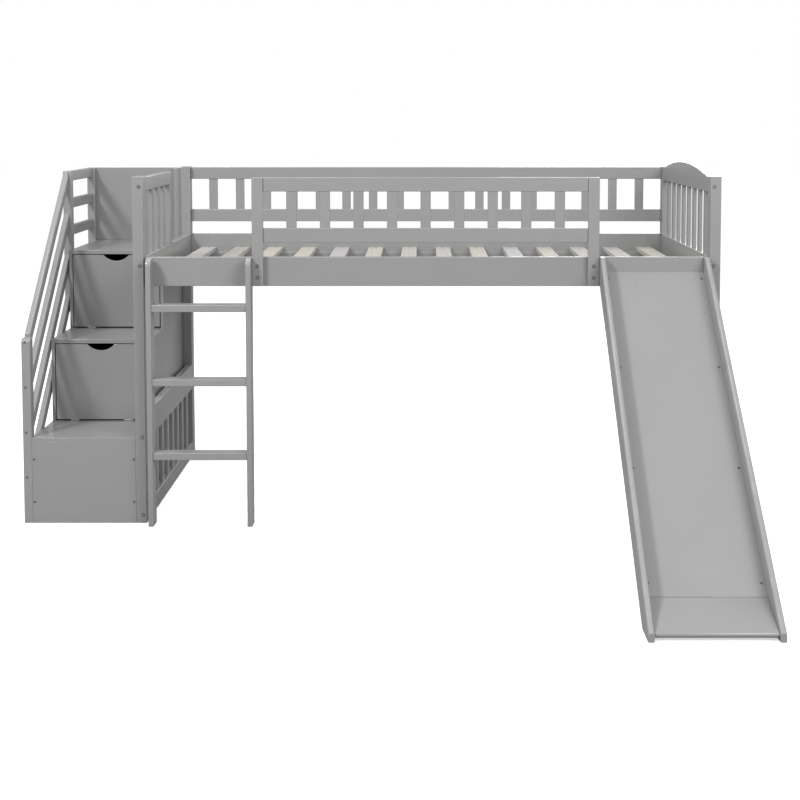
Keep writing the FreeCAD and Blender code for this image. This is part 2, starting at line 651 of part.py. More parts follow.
def slide_bed():
    """The panel one slides on, the landing at its foot and the board that closes its top."""
    x = (SLIDE_INNER_LEFT, SLIDE_INNER_RIGHT)
    thick = SLIDE_PANEL_THICK / math.cos(math.radians(SLIDE_ANGLE))
    crease = slide_crease()
    top = SLIDE_BACK_FRONT
    outline = [
        (top, slide_surface(top)),
        (crease, slide_surface(crease)),
        (crease, slide_surface(crease) - thick),
        (top, slide_surface(top) - thick),
    ]
    keep("slide_panel", side_polygon(outline, x))
    back_z = (slide_surface(top) - thick, SLIDE_TOP)
    keep("slide_top_board", board(x, (SLIDE_BACK_FRONT, RAIL_FRONT), back_z))
    keep("slide_landing", slide_landing(x, crease))


def slide_landing(x, crease):
    """A flatter board, from a narrow joint at the crease to a rounded lip just above the floor."""
    lip = SLIDE_FRONT + SLIDE_LIP_FRONT
    panel_end = yz(crease, slide_surface(crease))
    along = (yz(lip, SLIDE_LIP_TOP) - panel_end).normalize()
    down = yz(-along.z, along.y)
    start = panel_end - along * (SLIDE_CREASE_GAP / along.y)
    radius = SLIDE_LANDING_THICK / 2
    nose = start + along * ((lip - start.y) / along.y - radius)
    low_nose = nose + down * SLIDE_LANDING_THICK
    tip = nose + along * radius + down * radius
    low_start = start + down * SLIDE_LANDING_THICK
    slant = (low_start.y - start.y) / along.y
    low_crease = low_start - along * slant
    edges = [
        Part.LineSegment(start, nose).toShape(),
        Part.Arc(nose, tip, low_nose).toShape(),
        Part.LineSegment(low_nose, low_crease).toShape(),
        Part.LineSegment(low_crease, start).toShape(),
    ]
    return side_profile(edges, x)


def batten_places():
    """Distances of the battens down the slope, from the top of the panel."""
    length = (SLIDE_BACK_FRONT - slide_crease()) / math.cos(math.radians(SLIDE_ANGLE))
    pitch = (length - SLIDE_BATTEN_FIRST - SLIDE_BATTEN_LAST) / (SLIDE_BATTENS - 1)
    return [SLIDE_BATTEN_FIRST + k * pitch for k in range(SLIDE_BATTENS)]


def slope_point(distance, depth):
    """The (y, z) point at a distance down the slope and a depth under the sliding surface."""
    angle = math.radians(SLIDE_ANGLE)
    top = SLIDE_BACK_FRONT
    y = top - distance * math.cos(angle) + depth * math.sin(angle)
    z = slide_surface(top) - distance * math.sin(angle) - depth * math.cos(angle)
    return y, z


def slide_battens():
    x = (SLIDE_INNER_LEFT, SLIDE_INNER_RIGHT)
    half = SLIDE_BATTEN_WIDTH / 2
    near = SLIDE_PANEL_THICK
    far = near + SLIDE_BATTEN_HEIGHT
    battens = []
    for place in batten_places():
        corners = ((place - half, near), (place + half, near), (place + half, far), (place - half, far))
        battens.append(side_polygon([slope_point(d, t) for d, t in corners], x))
    keep("slide_battens", *battens)


def bolt_ends():
    """Bolts along Y through the posts into the end rails, each with a barrel nut."""
    left_x = INNER_LEFT - END_RAIL_THICK / 2
    right_x = INNER_RIGHT + END_RAIL_THICK / 2
    rail_z = RAIL_TOP - END_BOLT_DROP
    lower_z = LOWER_RAIL_TOP - LOWER_RAIL_HEIGHT + LOWER_BOLT_RISE
    foot_z = LOWER_FOOT_HEIGHT / 2
    guard_z = GUARD_TOP - ARCH_BOLT_DROP
    for x, side in ((left_x, "left"), (right_x, "right")):
        for y, direction, row_name in ((0, 1, "front"), (BED_DEPTH, -1, "rear")):
            post = row_name + "_" + side + "_post"
            for z, rail in ((rail_z, side + "_end_rail"), (lower_z, "lower_end_top_rails"),
                            (foot_z, "lower_end_foot_rails")):
                point = (x, y, z)
                bolt_with_nut(point, (0, direction, 0), POST_DEPTH, (1, 0, 0), [post, rail])
            if side == "right":
                point = (x, y, guard_z)
                through = [post, "headboard_arch_rail"]
                bolt_with_nut(point, (0, direction, 0), POST_DEPTH, (1, 0, 0), through)
    through = ["front_left_post", "left_guard_top_rail"]
    bolt_with_nut((left_x, 0, guard_z), (0, 1, 0), POST_DEPTH, (1, 0, 0), through)


def bolt_sides():
    """Bolts along X through the posts into the side rails and the rear guard boards."""
    rear_y = (REAR_RAIL_FRONT + REAR_RAIL_BACK) / 2
    front_y = (RAIL_FRONT + RAIL_BACK) / 2
    low = RAIL_BOTTOM + SIDE_BOLT_RISE
    high = RAIL_TOP - SIDE_BOLT_DROP
    rows = (
        ("front", front_y, low, "front_side_rail"),
        ("front", front_y, high, "front_side_rail"),
        ("rear", rear_y, low, "rear_side_rail"),
        ("rear", rear_y, high, "rear_side_rail"),
        ("rear", rear_y, GUARD_TOP - GUARD_BOARD / 2, "rear_guard_top_board"),
        ("rear", rear_y, GUARD_LOWER_TOP - GUARD_LOWER_BOARD / 2, "rear_guard_middle_board"),
    )
    for side, x, direction in (("left", LEFT, 1), ("right", RIGHT, -1)):
        for row_name, y, z, rail in rows:
            through = [row_name + "_" + side + "_post", rail]
            bolt_with_nut((x, y, z), (direction, 0, 0), POST_WIDTH, (0, 1, 0), through)


def bolt_front():
    """Bolts that hold the front guard, the ladder, the slide and the stairs to the bed."""
    post_front = RAIL_FRONT - GUARD_POST_THICK
    guard = ["front_guard_posts", "front_side_rail"]
    for x in (GUARD_LEFT + GUARD_POST_WIDTH / 2, GUARD_RIGHT - GUARD_POST_WIDTH / 2):
        for drop in GUARD_BOLT_DROPS:
            point = (x, post_front, RAIL_TOP - drop)
            fasten("frame_bolts", BOLT, point, (0, 1, 0), GUARD_BOLT_LENGTH, guard)
    ladder_through = ["front_side_rail", "ladder_rails"]
    for x in ladder_places():
        middle = (x[0] + x[1]) / 2
        point = (middle, RAIL_BACK, (RAIL_TOP + RAIL_BOTTOM) / 2)
        fasten("frame_bolts", BOLT, point, (0, -1, 0), LADDER_BOLT_LENGTH, ladder_through)
    slide_through = ["front_side_rail", "slide_top_board"]
    for x in (SLIDE_INNER_LEFT + SLIDE_BOLT_INSET, SLIDE_INNER_RIGHT - SLIDE_BOLT_INSET):
        point = (x, RAIL_BACK, RAIL_TOP - SLIDE_BOLT_DROP)
        fasten("frame_bolts", BOLT, point, (0, -1, 0), SLIDE_BOLT_LENGTH, slide_through)
    for name, y, z, post in (
        ("lower", POST_DEPTH / 2, tier_middle(0), "front_left_post"),
        ("lower", BED_DEPTH - POST_DEPTH / 2, tier_middle(0), "rear_left_post"),
        ("upper", BED_DEPTH - POST_DEPTH / 2, tier_middle(2), "rear_left_post"),
    ):
        through = ["stair_" + name + "_sides", post]
        point = (STAIR_INNER_RIGHT, y, z)
        fasten("frame_bolts", BOLT, point, (1, 0, 0), STAIR_BOLT_LENGTH, through)


def screw_slats():
    for x in slat_centres():
        for y in (RAIL_BACK + CLEAT_SIZE / 2, REAR_RAIL_FRONT - CLEAT_SIZE / 2):
            point = (x, y, SLAT_TOP)
            through = ["bed_slats", "slat_cleats"]
            fasten("wood_screws", SCREW, point, (0, 0, -1), SLAT_SCREW_LENGTH, through)


def screw_ladder():
    left, right = ladder_places()
    middle = RAIL_FRONT - LADDER_RAIL_DEPTH / 2
    for k in range(RUNG_COUNT):
        z = RUNG_PITCH * (k + 1) - RUNG_THICK / 2
        for x, direction in ((left[0], 1), (right[1], -1)):
            for y in (middle - RUNG_DEPTH / 4, middle + RUNG_DEPTH / 4):
                through = ["ladder_rails", "ladder_rungs"]
                aim = (direction, 0, 0)
                fasten("wood_screws", SCREW, (x, y, z), aim, RUNG_SCREW_LENGTH, through)


def screw_stairs():
    """Screws in the front panel, the handrail ends and the posts beside the stair boxes."""
    panel = ["stair_front_panel", "stair_lower_sides"]
    inset = STAIR_PANEL / 2 + PANEL_SCREW_SHIFT
    for x in (STAIR_LEFT + inset, LEFT - inset):
        for share in PANEL_SCREW_SHARES:
            point = (x, 0, share * STAIR_RISE)
            fasten("wood_screws", SCREW, point, (0, 1, 0), PANEL_SCREW_LENGTH, panel)
    reach = HANDRAIL_WIDTH / 2 * math.sqrt(1 + handrail_slope() ** 2) / handrail_slope()
    for k in range(HANDRAIL_COUNT):
        low = (HANDRAIL_X, 0, HANDRAIL_LOW - k * HANDRAIL_DROP)
        through = ["stair_short_post", "stair_handrails"]
        length = SHORT_POST_DEPTH + HANDRAIL_SCREW_REACH
        fasten("wood_screws", SCREW, low, (0, 1, 0), length, through)
        start = TALL_POST_FRONT - reach / 2
        high = (HANDRAIL_X, start, HANDRAIL_HIGH - k * HANDRAIL_DROP)
        through = ["stair_handrails", "stair_tall_post"]
        length = reach / 2 + HANDRAIL_SCREW_REACH
        fasten("wood_screws", SCREW, high, (0, 1, 0), length, through, pocket=reach)
    rear_y = (STAIR_REAR_POST_FRONT + STAIR_BACK) / 2
    tall_y = TALL_POST_FRONT + TALL_POST_DEPTH / 2
    short_y = SHORT_POST_DEPTH - SHORT_POST_SCREW_INSET
    panel_top = PLATFORM_TOP - TREAD_THICK
    length = STAIR_POST_WIDTH + STAIR_PANEL - POST_SCREW_SHORT
    short_z = [share * STAIR_RISE for share in SHORT_POST_SCREW_SHARES]
    for y, z, post, sides in (
        (short_y, short_z[0], "stair_short_post", "lower"),
        (short_y, short_z[1], "stair_short_post", "lower"),
        (tall_y, TALL_POST_FOOT + TALL_POST_SCREW_RISE, "stair_tall_post", "upper"),
        (tall_y, panel_top - TALL_POST_SCREW_DROP, "stair_tall_post", "upper"),
        (rear_y, tier_middle(0), "stair_rear_left_post", "lower"),
        (rear_y, tier_middle(1), "stair_rear_left_post", "middle"),
        (rear_y, tier_middle(2), "stair_rear_left_post", "upper"),
    ):
        through = [post, "stair_" + sides + "_sides"]
        fasten("wood_screws", SCREW, (STAIR_OUTER, y, z), (1, 0, 0), length, through)


def screw_slide():
    """A pair of screws through the sliding panel into each batten."""
    angle = math.radians(SLIDE_ANGLE)
    down = (0, math.sin(angle), -math.cos(angle))
    for place in batten_places():
        y, z = slope_point(place, 0)
        for x in (SLIDE_INNER_LEFT + BATTEN_SCREW_INSET, SLIDE_INNER_RIGHT - BATTEN_SCREW_INSET):
            through = ["slide_panel", "slide_battens"]
            fasten("wood_screws", SCREW, (x, y, z), down, BATTEN_SCREW_LENGTH, through)


def write_parts():
    everything = Part.makeCompound(list(pieces.values()))
    box = everything.BoundBox
    shift = FreeCAD.Vector(-(box.XMin + box.XMax) / 2, -(box.YMin + box.YMax) / 2, -box.ZMin)
    os.makedirs("parts", exist_ok=True)
    for name, shape in pieces.items():
        moved = shape.copy()
        moved.translate(shift)
        moved.exportStep("parts/" + name + ".step")
    print(len(pieces), "pieces, moved by", tuple(round(v, 3) for v in shift))
    print("box", round(box.XLength, 2), round(box.YLength, 2), round(box.ZLength, 2))


bed_posts()
bed_rails()
mattress_support()
headboard()
left_guard()
lower_end_panels()
front_guard()
rear_guard()
ladder()
stair_boxes()
stair_posts()
stair_railing()
flap_doors()
slide_boards()
slide_bed()
slide_battens()
bolt_ends()
bolt_sides()
bolt_front()
screw_slats()
screw_ladder()
screw_stairs()
screw_slide()
for group, solids in fasteners.items():
    keep(group, *solids)
write_parts()
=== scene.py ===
"""Looks of the loft bed: rounded timber, painted and bare finishes, fastener heads, studio light."""

import json
import math

import bmesh
import bpy
import numpy as np
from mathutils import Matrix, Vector


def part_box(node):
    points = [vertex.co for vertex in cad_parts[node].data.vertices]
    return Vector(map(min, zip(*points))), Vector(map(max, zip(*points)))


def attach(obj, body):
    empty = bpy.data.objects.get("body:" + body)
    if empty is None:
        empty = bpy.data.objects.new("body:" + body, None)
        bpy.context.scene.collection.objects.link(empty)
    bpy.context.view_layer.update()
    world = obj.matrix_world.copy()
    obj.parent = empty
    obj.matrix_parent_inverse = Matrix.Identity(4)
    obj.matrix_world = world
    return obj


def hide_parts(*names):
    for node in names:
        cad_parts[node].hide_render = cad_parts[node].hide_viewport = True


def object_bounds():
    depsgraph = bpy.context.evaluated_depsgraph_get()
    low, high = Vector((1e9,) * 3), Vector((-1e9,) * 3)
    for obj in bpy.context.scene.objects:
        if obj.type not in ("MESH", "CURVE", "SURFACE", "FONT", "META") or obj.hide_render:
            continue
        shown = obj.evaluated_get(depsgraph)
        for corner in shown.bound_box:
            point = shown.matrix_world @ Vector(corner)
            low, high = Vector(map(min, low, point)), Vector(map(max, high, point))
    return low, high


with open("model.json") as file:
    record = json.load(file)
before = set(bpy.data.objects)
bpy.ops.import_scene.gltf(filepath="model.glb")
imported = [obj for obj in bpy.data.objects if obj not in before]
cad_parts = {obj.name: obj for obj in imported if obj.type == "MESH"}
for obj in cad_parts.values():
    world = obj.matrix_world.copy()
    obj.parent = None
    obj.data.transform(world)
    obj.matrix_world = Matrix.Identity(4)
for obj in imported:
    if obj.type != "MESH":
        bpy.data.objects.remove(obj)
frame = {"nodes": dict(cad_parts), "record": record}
cad_box = [list(corner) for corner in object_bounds()]

MM = 0.001

# How far the edges of each kind of board are rounded
BOARD_EDGE = 2.0 * MM
PANEL_EDGE = 1.0 * MM
SLIDE_PANEL_EDGE = 0.5 * MM
LANDING_EDGE = 2.0 * MM
SLIDE_EDGE = 7.5 * MM
SLAT_EDGE = 2.5 * MM
BARE_EDGE = 2.0 * MM
EDGE_SEGMENTS = 3

# Limits that tell flat, gentle and sharp apart, and which edges run along a board
MERGE = 0.01 * MM
SAME_PLANE = math.radians(0.6)
STRAIGHT = 0.02
SHARPEST = math.radians(30.0)
FLAT = 0.95
ALONG = 0.99

# Fastener heads: radius, how far proud of the wood, socket radius, socket sides
HEAD_PROUD = 0.8 * MM
# The bolt ring is painted shade: a thin dark ring around each bolt head where the counterbore's
# shadow falls
BOLT_SHADE_RING = (6.6 * MM, HEAD_PROUD / 4, 5.2 * MM, 24)
BOLT_HEAD = (5.1 * MM, HEAD_PROUD, 2.5 * MM, 6)
SCREW_HEAD = (4.3 * MM, HEAD_PROUD / 2, 1.9 * MM, 4)
NUT_FACE = (5.2 * MM, HEAD_PROUD / 2, 1.2 * MM, 3)
HEAD_HEIGHT = 2.0 * MM
HEAD_SIDES = 28
HEAD_TAPER = 0.82
SOCKET_RISE = 0.45
ROD_END = 0.5 * MM

# Timber figure: pattern scales along, across and through a board, in waves per metre
BEND_SCALE = (1.1, 5.0, 5.0)
BEND_WIDTH = 0.11
RING_SHARPNESS = 2.5
RING_FADE_SCALE = (2.0, 30.0, 30.0)
FIBRE_SCALE = (9.0, 420.0, 420.0)
PORE_SCALE = (60.0, 1500.0, 1500.0)
BOARD_SHIFT = (31.0, 17.0, 23.0)
PAINTED_RING_WIDTH = 0.014
BARE_RING_WIDTH = 0.019
WOOD_RELIEF = 0.15 * MM

# Bare slats: two tones that a board lies between, then the darker marks and the worn edges
STRAW = (0.56, 0.54, 0.47)
COOL_TONE = (0.50, 0.485, 0.51)
RING_BROWN = (0.38, 0.35, 0.29)
FIBRE_BROWN = (0.43, 0.40, 0.33)
PORE_BROWN = (0.31, 0.26, 0.21)
WORN_STRAW = (0.60, 0.58, 0.53)

# Numbers that turn a place into a tone for its board, and the seeds of the grown rows
SCATTER = (127.1, 311.7, 74.7)
SCATTER_SIZE = 43758.5453
BED_SLAT_SEED = 7
ROW_SEED = 20

# Paint: shades of its own colour, pattern scales, and what each pattern adds
FADED = 0.93
FRESH = 1.05
OVER_RINGS = 0.8
SHEEN_SCALE = 22.0
FADE_SCALE = 3.5
WEAR_SCALE = 14.0
RING_TINT = 0.25
RING_DIP = -0.6
FIBRE_RISE = 0.8
PEEL_RISE = 0.35
WORN_POLISH = 0.06
PAINT_RELIEF = 0.12 * MM
PAINT_IOR = 1.5
COAT_WEIGHT = 0.35
COAT_ROUGHNESS = 0.16

# Metal and plastic
DULL_SHARE = 0.55
CLOUD_SCALE = 240.0
SCRATCH_SCALE = (2600.0, 300.0, 2600.0)
METAL_RELIEF = 0.03 * MM
PLASTIC_GRAIN = 900.0
PLASTIC_MOTTLE = 30.0
PLASTIC_RELIEF = 0.05 * MM

# Studio: floor, sky and lights, each light given as place, size and power
FLOOR_SIZE = 60.0
FLOOR_BOUNCE = (0.34, 0.34, 0.34)
FLOOR_SEEN = (0.93, 0.93, 0.93)
FLOOR_GLOW = 0.55
SKY = 0.50
KEY_LIGHT = ((-3.0, -3.2, 4.2), 0.8, 180.0)
TOP_LIGHT = ((2.4, -2.9, 3.1), 2.2, 106.0)
OVERHEAD_LIGHT = ((-1.0, 0.2, 4.2), 1.4, 36.0)
REAR_LIGHT = ((1.7, 4.6, 2.4), 2.4, 70.0)

# Camera
CAMERA_PLACE = (0.1854, -4.9114, 1.3929)
CAMERA_DOWN = 4.2
CAMERA_LENS = 65.85
CAMERA_SENSOR = 36.0
CAMERA_SHIFT = (-0.0305, -0.2182)


# Node trees ---------------------------------------------------------------------------------


def new_node(tree, kind, **settings):
    """Add a node; settings named in_SOCKET set its inputs, the others its properties."""
    node = tree.nodes.new(kind)
    for name, value in settings.items():
        if name.startswith("in_"):
            node.inputs[name[3:].replace("_", " ")].default_value = value
        else:
            setattr(node, name, value)
    return node


def join(tree, start, end):
    tree.links.new(start, end)


def math_node(tree, operation, first, second=None):
    """A Math node fed by sockets or plain numbers; returns its output."""
    node = tree.nodes.new("ShaderNodeMath")
    node.operation = operation
    for socket, value in zip(node.inputs, (first, second)):
        if isinstance(value, bpy.types.NodeSocket):
            tree.links.new(value, socket)
        elif value is not None:
            socket.default_value = value
    return node.outputs[0]


def new_group(name, kind, inputs, outputs):
    """An empty node group with named sockets, each given as (name, type, default)."""
    group = bpy.data.node_groups.new(name, kind)
    for label, socket_type, default in inputs:
        socket = group.interface.new_socket(label, in_out="INPUT", socket_type=socket_type)
        if default is not None:
            socket.default_value = default
    for label, socket_type in outputs:
        group.interface.new_socket(label, in_out="OUTPUT", socket_type=socket_type)
    return group, group.nodes.new("NodeGroupInput"), group.nodes.new("NodeGroupOutput")


def shader_group(name, inputs, outputs):
    sockets = [(label, "NodeSocket" + kind, default) for label, kind, default in inputs]
    return new_group(name, "ShaderNodeTree", sockets, [(n, "NodeSocket" + k) for n, k in outputs])


def noise(tree, coordinates, scale, detail=3.0, distortion=0.0):
    node = new_node(tree, "ShaderNodeTexNoise", in_Scale=scale, in_Detail=detail)
    node.inputs["Distortion"].default_value = distortion
    join(tree, coordinates, node.inputs["Vector"])
    return node.outputs["Fac"]


def stretched(tree, coordinates, scale):
    node = new_node(tree, "ShaderNodeMapping", in_Scale=scale)
    join(tree, coordinates, node.inputs["Vector"])
    return node.outputs["Vector"]


def remap(tree, value, low, high, to_low, to_high):
    node = tree.nodes.new("ShaderNodeMapRange")
    join(tree, value, node.inputs["Value"])
    numbers = (low, high, to_low, to_high)
    for name, number in zip(("From Min", "From Max", "To Min", "To Max"), numbers):
        node.inputs[name].default_value = number
    return node.outputs["Result"]


def board_coordinates_group():
    """Coordinates along each board's own length, shifted so that no two boards share a pattern."""
    outputs = [("Coordinates", "Vector"), ("Board", "Float")]
    group, _, end = shader_group("board_coordinates", [], outputs)
    place = new_node(group, "ShaderNodeAttribute", attribute_name="grain_place")
    board = new_node(group, "ShaderNodeAttribute", attribute_name="board")
    shift = new_node(group, "ShaderNodeVectorMath", operation="SCALE")
    shift.inputs[0].default_value = BOARD_SHIFT
    join(group, board.outputs["Fac"], shift.inputs["Scale"])
    total = new_node(group, "ShaderNodeVectorMath", operation="ADD")
    join(group, place.outputs["Vector"], total.inputs[0])
    join(group, shift.outputs["Vector"], total.inputs[1])
    join(group, total.outputs["Vector"], end.inputs["Coordinates"])
    join(group, board.outputs["Fac"], end.inputs["Board"])
    return group


def timber_figure_group():
    """Growth rings that run along a board, finer fibres, and a few short pores."""
    inputs = [("Coordinates", "Vector", None), ("Ring Width", "Float", 0.012)]
    outputs = [("Rings", "Float"), ("Fibres", "Float"), ("Pores", "Float")]
    group, start, end = shader_group("timber_figure", inputs, outputs)
    place = start.outputs["Coordinates"]
    bend = noise(group, stretched(group, place, BEND_SCALE), 1.0, 2.0, 0.4)
    apart = new_node(group, "ShaderNodeSeparateXYZ")
    join(group, place, apart.inputs[0])
    wander = math_node(group, "MULTIPLY", bend, BEND_WIDTH)
    across = math_node(group, "ADD", apart.outputs["Y"], wander)
    turns = math_node(group, "DIVIDE", across, start.outputs["Ring Width"])
    rings = math_node(group, "FRACT", turns)
    soft = math_node(group, "POWER", rings, RING_SHARPNESS)
    fade = noise(group, stretched(group, place, RING_FADE_SCALE), 1.0, 2.0)
    join(group, math_node(group, "MULTIPLY", soft, fade), end.inputs["Rings"])
    fibres = noise(group, stretched(group, place, FIBRE_SCALE), 1.0, 5.0)
    join(group, fibres, end.inputs["Fibres"])
    specks = noise(group, stretched(group, place, PORE_SCALE), 1.0, 1.0)
    join(group, remap(group, specks, 0.66, 0.76, 0.0, 1.0), end.inputs["Pores"])
    return group


def paint_film_group():
    """Sprayed paint: a shallow orange peel, slow sheen changes and slight fading."""
    inputs = [("Coordinates", "Vector", None), ("Peel Size", "Float", 260.0)]
    outputs = [("Peel", "Float"), ("Sheen", "Float"), ("Fade", "Float")]
    group, start, end = shader_group("paint_film", inputs, outputs)
    place = start.outputs["Coordinates"]
    peel = new_node(group, "ShaderNodeTexNoise", in_Detail=2.0)
    join(group, place, peel.inputs["Vector"])
    join(group, start.outputs["Peel Size"], peel.inputs["Scale"])
    join(group, peel.outputs["Fac"], end.inputs["Peel"])
    join(group, noise(group, place, SHEEN_SCALE, 4.0), end.inputs["Sheen"])
    join(group, noise(group, place, FADE_SCALE, 2.0), end.inputs["Fade"])
    return group


def edge_wear_group():
    """Where handling has thinned the finish on a rounded edge."""
    inputs = [("Coordinates", "Vector", None), ("Amount", "Float", 0.5)]
    group, start, end = shader_group("edge_wear", inputs, [("Worn", "Float")])
    edge = new_node(group, "ShaderNodeAttribute", attribute_name="edge")
    patches = noise(group, start.outputs["Coordinates"], WEAR_SCALE, 4.0, 0.5)
    rubbed = remap(group, patches, 0.45, 0.75, 0.15, 1.0)
    worn = math_node(group, "MULTIPLY", edge.outputs["Fac"], rubbed)
    join(group, math_node(group, "MULTIPLY", worn, start.outputs["Amount"]), end.inputs["Worn"])
    return group


BOARD_COORDINATES = board_coordinates_group()
TIMBER_FIGURE = timber_figure_group()
PAINT_FILM = paint_film_group()
EDGE_WEAR = edge_wear_group()


# Materials ----------------------------------------------------------------------------------


def new_material(name):
    material = bpy.data.materials.new(name)
    material.use_nodes = True
    return material, material.node_tree, material.node_tree.nodes["Principled BSDF"]


def place_group(tree, group, **values):
    node = tree.nodes.new("ShaderNodeGroup")
    node.node_tree = group
    for name, value in values.items():
        socket = node.inputs[name.replace("_", " ")]
        if isinstance(value, bpy.types.NodeSocket):
            tree.links.new(value, socket)
        else:
            socket.default_value = value
    return node.outputs


def blend_colours(tree, amount, first, second):
    """Mix two colours, each a socket or an (r, g, b), by a socket; returns the colour."""
    node = new_node(tree, "ShaderNodeMix", data_type="RGBA")
    join(tree, amount, node.inputs["Factor"])
    for socket, colour in ((node.inputs[6], first), (node.inputs[7], second)):
        if isinstance(colour, bpy.types.NodeSocket):
            join(tree, colour, socket)
        else:
            socket.default_value = (*colour, 1.0)
    return node.outputs[2]


def add_bump(tree, shader, height, distance):
    bump = new_node(tree, "ShaderNodeBump", in_Distance=distance, in_Strength=1.0)
    join(tree, height, bump.inputs["Height"])
    join(tree, bump.outputs["Normal"], shader.inputs["Normal"])


def shade(colour, share):
    """A colour made lighter or darker."""
    return tuple(share * part for part in colour)


def painted(name, colour, worn_colour, grain, peel_size, gloss, wear):
    """Satin grey paint; grain is how much the timber's figure shows through the film."""
    material, tree, shader = new_material(name)
    board = place_group(tree, BOARD_COORDINATES)
    place = board["Coordinates"]
    film = place_group(tree, PAINT_FILM, Coordinates=place, Peel_Size=peel_size)
    figure = place_group(tree, TIMBER_FIGURE, Coordinates=place, Ring_Width=PAINTED_RING_WIDTH)
    worn = place_group(tree, EDGE_WEAR, Coordinates=place, Amount=wear)["Worn"]
    fading = remap(tree, film["Fade"], 0.3, 0.7, 0.0, 0.6)
    faded = blend_colours(tree, fading, colour, shade(colour, FADED))
    freshness = remap(tree, board["Board"], 0.0, 1.0, 0.0, 0.7)
    toned = blend_colours(tree, freshness, faded, shade(colour, FRESH))
    ringed = math_node(tree, "MULTIPLY", figure["Rings"], RING_TINT * grain)
    grained = blend_colours(tree, ringed, toned, shade(colour, OVER_RINGS))
    join(tree, blend_colours(tree, worn, grained, worn_colour), shader.inputs["Base Color"])
    sheen = remap(tree, film["Sheen"], 0.25, 0.75, gloss - 0.05, gloss + 0.06)
    rough = math_node(tree, "SUBTRACT", sheen, math_node(tree, "MULTIPLY", worn, WORN_POLISH))
    join(tree, rough, shader.inputs["Roughness"])
    fibre = math_node(tree, "MULTIPLY", figure["Fibres"], FIBRE_RISE * grain)
    ring = math_node(tree, "MULTIPLY", figure["Rings"], RING_DIP * grain)
    relief = math_node(tree, "ADD", fibre, ring)
    peel = math_node(tree, "MULTIPLY", film["Peel"], PEEL_RISE)
    add_bump(tree, shader, math_node(tree, "ADD", relief, peel), PAINT_RELIEF)
    shader.inputs["IOR"].default_value = PAINT_IOR
    shader.inputs["Coat Weight"].default_value = COAT_WEIGHT
    shader.inputs["Coat Roughness"].default_value = COAT_ROUGHNESS
    return material


def bare_poplar():
    """Planed slats; each board leans to straw or to a greyer, cooler tone."""
    material, tree, shader = new_material("bare_poplar")
    board = place_group(tree, BOARD_COORDINATES)
    place = board["Coordinates"]
    figure = place_group(tree, TIMBER_FIGURE, Coordinates=place, Ring_Width=BARE_RING_WIDTH)
    worn = place_group(tree, EDGE_WEAR, Coordinates=place, Amount=0.5)["Worn"]
    base = blend_colours(tree, board["Board"], STRAW, COOL_TONE)
    rings = math_node(tree, "MULTIPLY", figure["Rings"], 0.75)
    ringed = blend_colours(tree, rings, base, RING_BROWN)
    fibres = remap(tree, figure["Fibres"], 0.35, 0.75, 0.0, 0.35)
    streaked = blend_colours(tree, fibres, ringed, FIBRE_BROWN)
    pored = blend_colours(tree, figure["Pores"], streaked, PORE_BROWN)
    join(tree, blend_colours(tree, worn, pored, WORN_STRAW), shader.inputs["Base Color"])
    rough = remap(tree, figure["Fibres"], 0.2, 0.8, 0.52, 0.72)
    join(tree, rough, shader.inputs["Roughness"])
    height = math_node(tree, "SUBTRACT", figure["Fibres"], figure["Pores"])
    add_bump(tree, shader, height, WOOD_RELIEF)
    return material


def zinc(name, colour, gloss):
    """Passivated steel: cloudy colour, fine scratches, rougher where it is dull."""
    material, tree, shader = new_material(name)
    place = tree.nodes.new("ShaderNodeTexCoord").outputs["Object"]
    clouds = noise(tree, place, CLOUD_SCALE, 4.0)
    scratches = noise(tree, stretched(tree, place, SCRATCH_SCALE), 1.0, 2.0)
    cloudy = remap(tree, clouds, 0.3, 0.7, 0.0, 1.0)
    tone = blend_colours(tree, cloudy, colour, shade(colour, DULL_SHARE))
    join(tree, tone, shader.inputs["Base Color"])
    shader.inputs["Metallic"].default_value = 0.9
    join(tree, remap(tree, clouds, 0.3, 0.7, gloss, gloss + 0.2), shader.inputs["Roughness"])
    add_bump(tree, shader, scratches, METAL_RELIEF)
    return material


def moulded_white():
    """White moulded plastic of the magnetic catches."""
    material, tree, shader = new_material("moulded_white")
    place = tree.nodes.new("ShaderNodeTexCoord").outputs["Object"]
    grain = noise(tree, place, PLASTIC_GRAIN, 3.0)
    mottle = noise(tree, place, PLASTIC_MOTTLE, 2.0)
    tone = blend_colours(tree, mottle, (0.78, 0.78, 0.76), (0.70, 0.70, 0.67))
    join(tree, tone, shader.inputs["Base Color"])
    join(tree, remap(tree, grain, 0.3, 0.7, 0.38, 0.5), shader.inputs["Roughness"])
    add_bump(tree, shader, grain, PLASTIC_RELIEF)
    return material


def studio_floor():
    """White seen from the camera, and greyer for the light that it throws back."""
    material, tree, shader = new_material("studio_floor")
    seen = tree.nodes.new("ShaderNodeLightPath").outputs["Is Camera Ray"]
    tone = blend_colours(tree, seen, FLOOR_BOUNCE, FLOOR_SEEN)
    join(tree, tone, shader.inputs["Base Color"])
    shader.inputs["Roughness"].default_value = 0.8
    shader.inputs["Specular IOR Level"].default_value = 0.1
    shader.inputs["Emission Color"].default_value = (1.0, 1.0, 1.0, 1.0)
    join(tree, math_node(tree, "MULTIPLY", seen, FLOOR_GLOW), shader.inputs["Emission Strength"])
    return material


GREY = (0.29, 0.29, 0.29)
PALE_GREY = (0.42, 0.42, 0.42)
PAINTED_TIMBER = painted("painted_timber", GREY, PALE_GREY, 1.0, 240.0, 0.38, 0.45)
PAINTED_PANEL = painted("painted_panel", (0.288, 0.284, 0.286), PALE_GREY, 0.12, 320.0, 0.32, 0.3)
BARE_POPLAR = bare_poplar()
DARK_ZINC = zinc("dark_zinc", (0.16, 0.16, 0.16), 0.34)
BRIGHT_ZINC = zinc("bright_zinc", (0.50, 0.50, 0.49), 0.26)
SCREW_ZINC = zinc("screw_zinc", (0.26, 0.26, 0.26), 0.32)
MOULDED_WHITE = moulded_white()

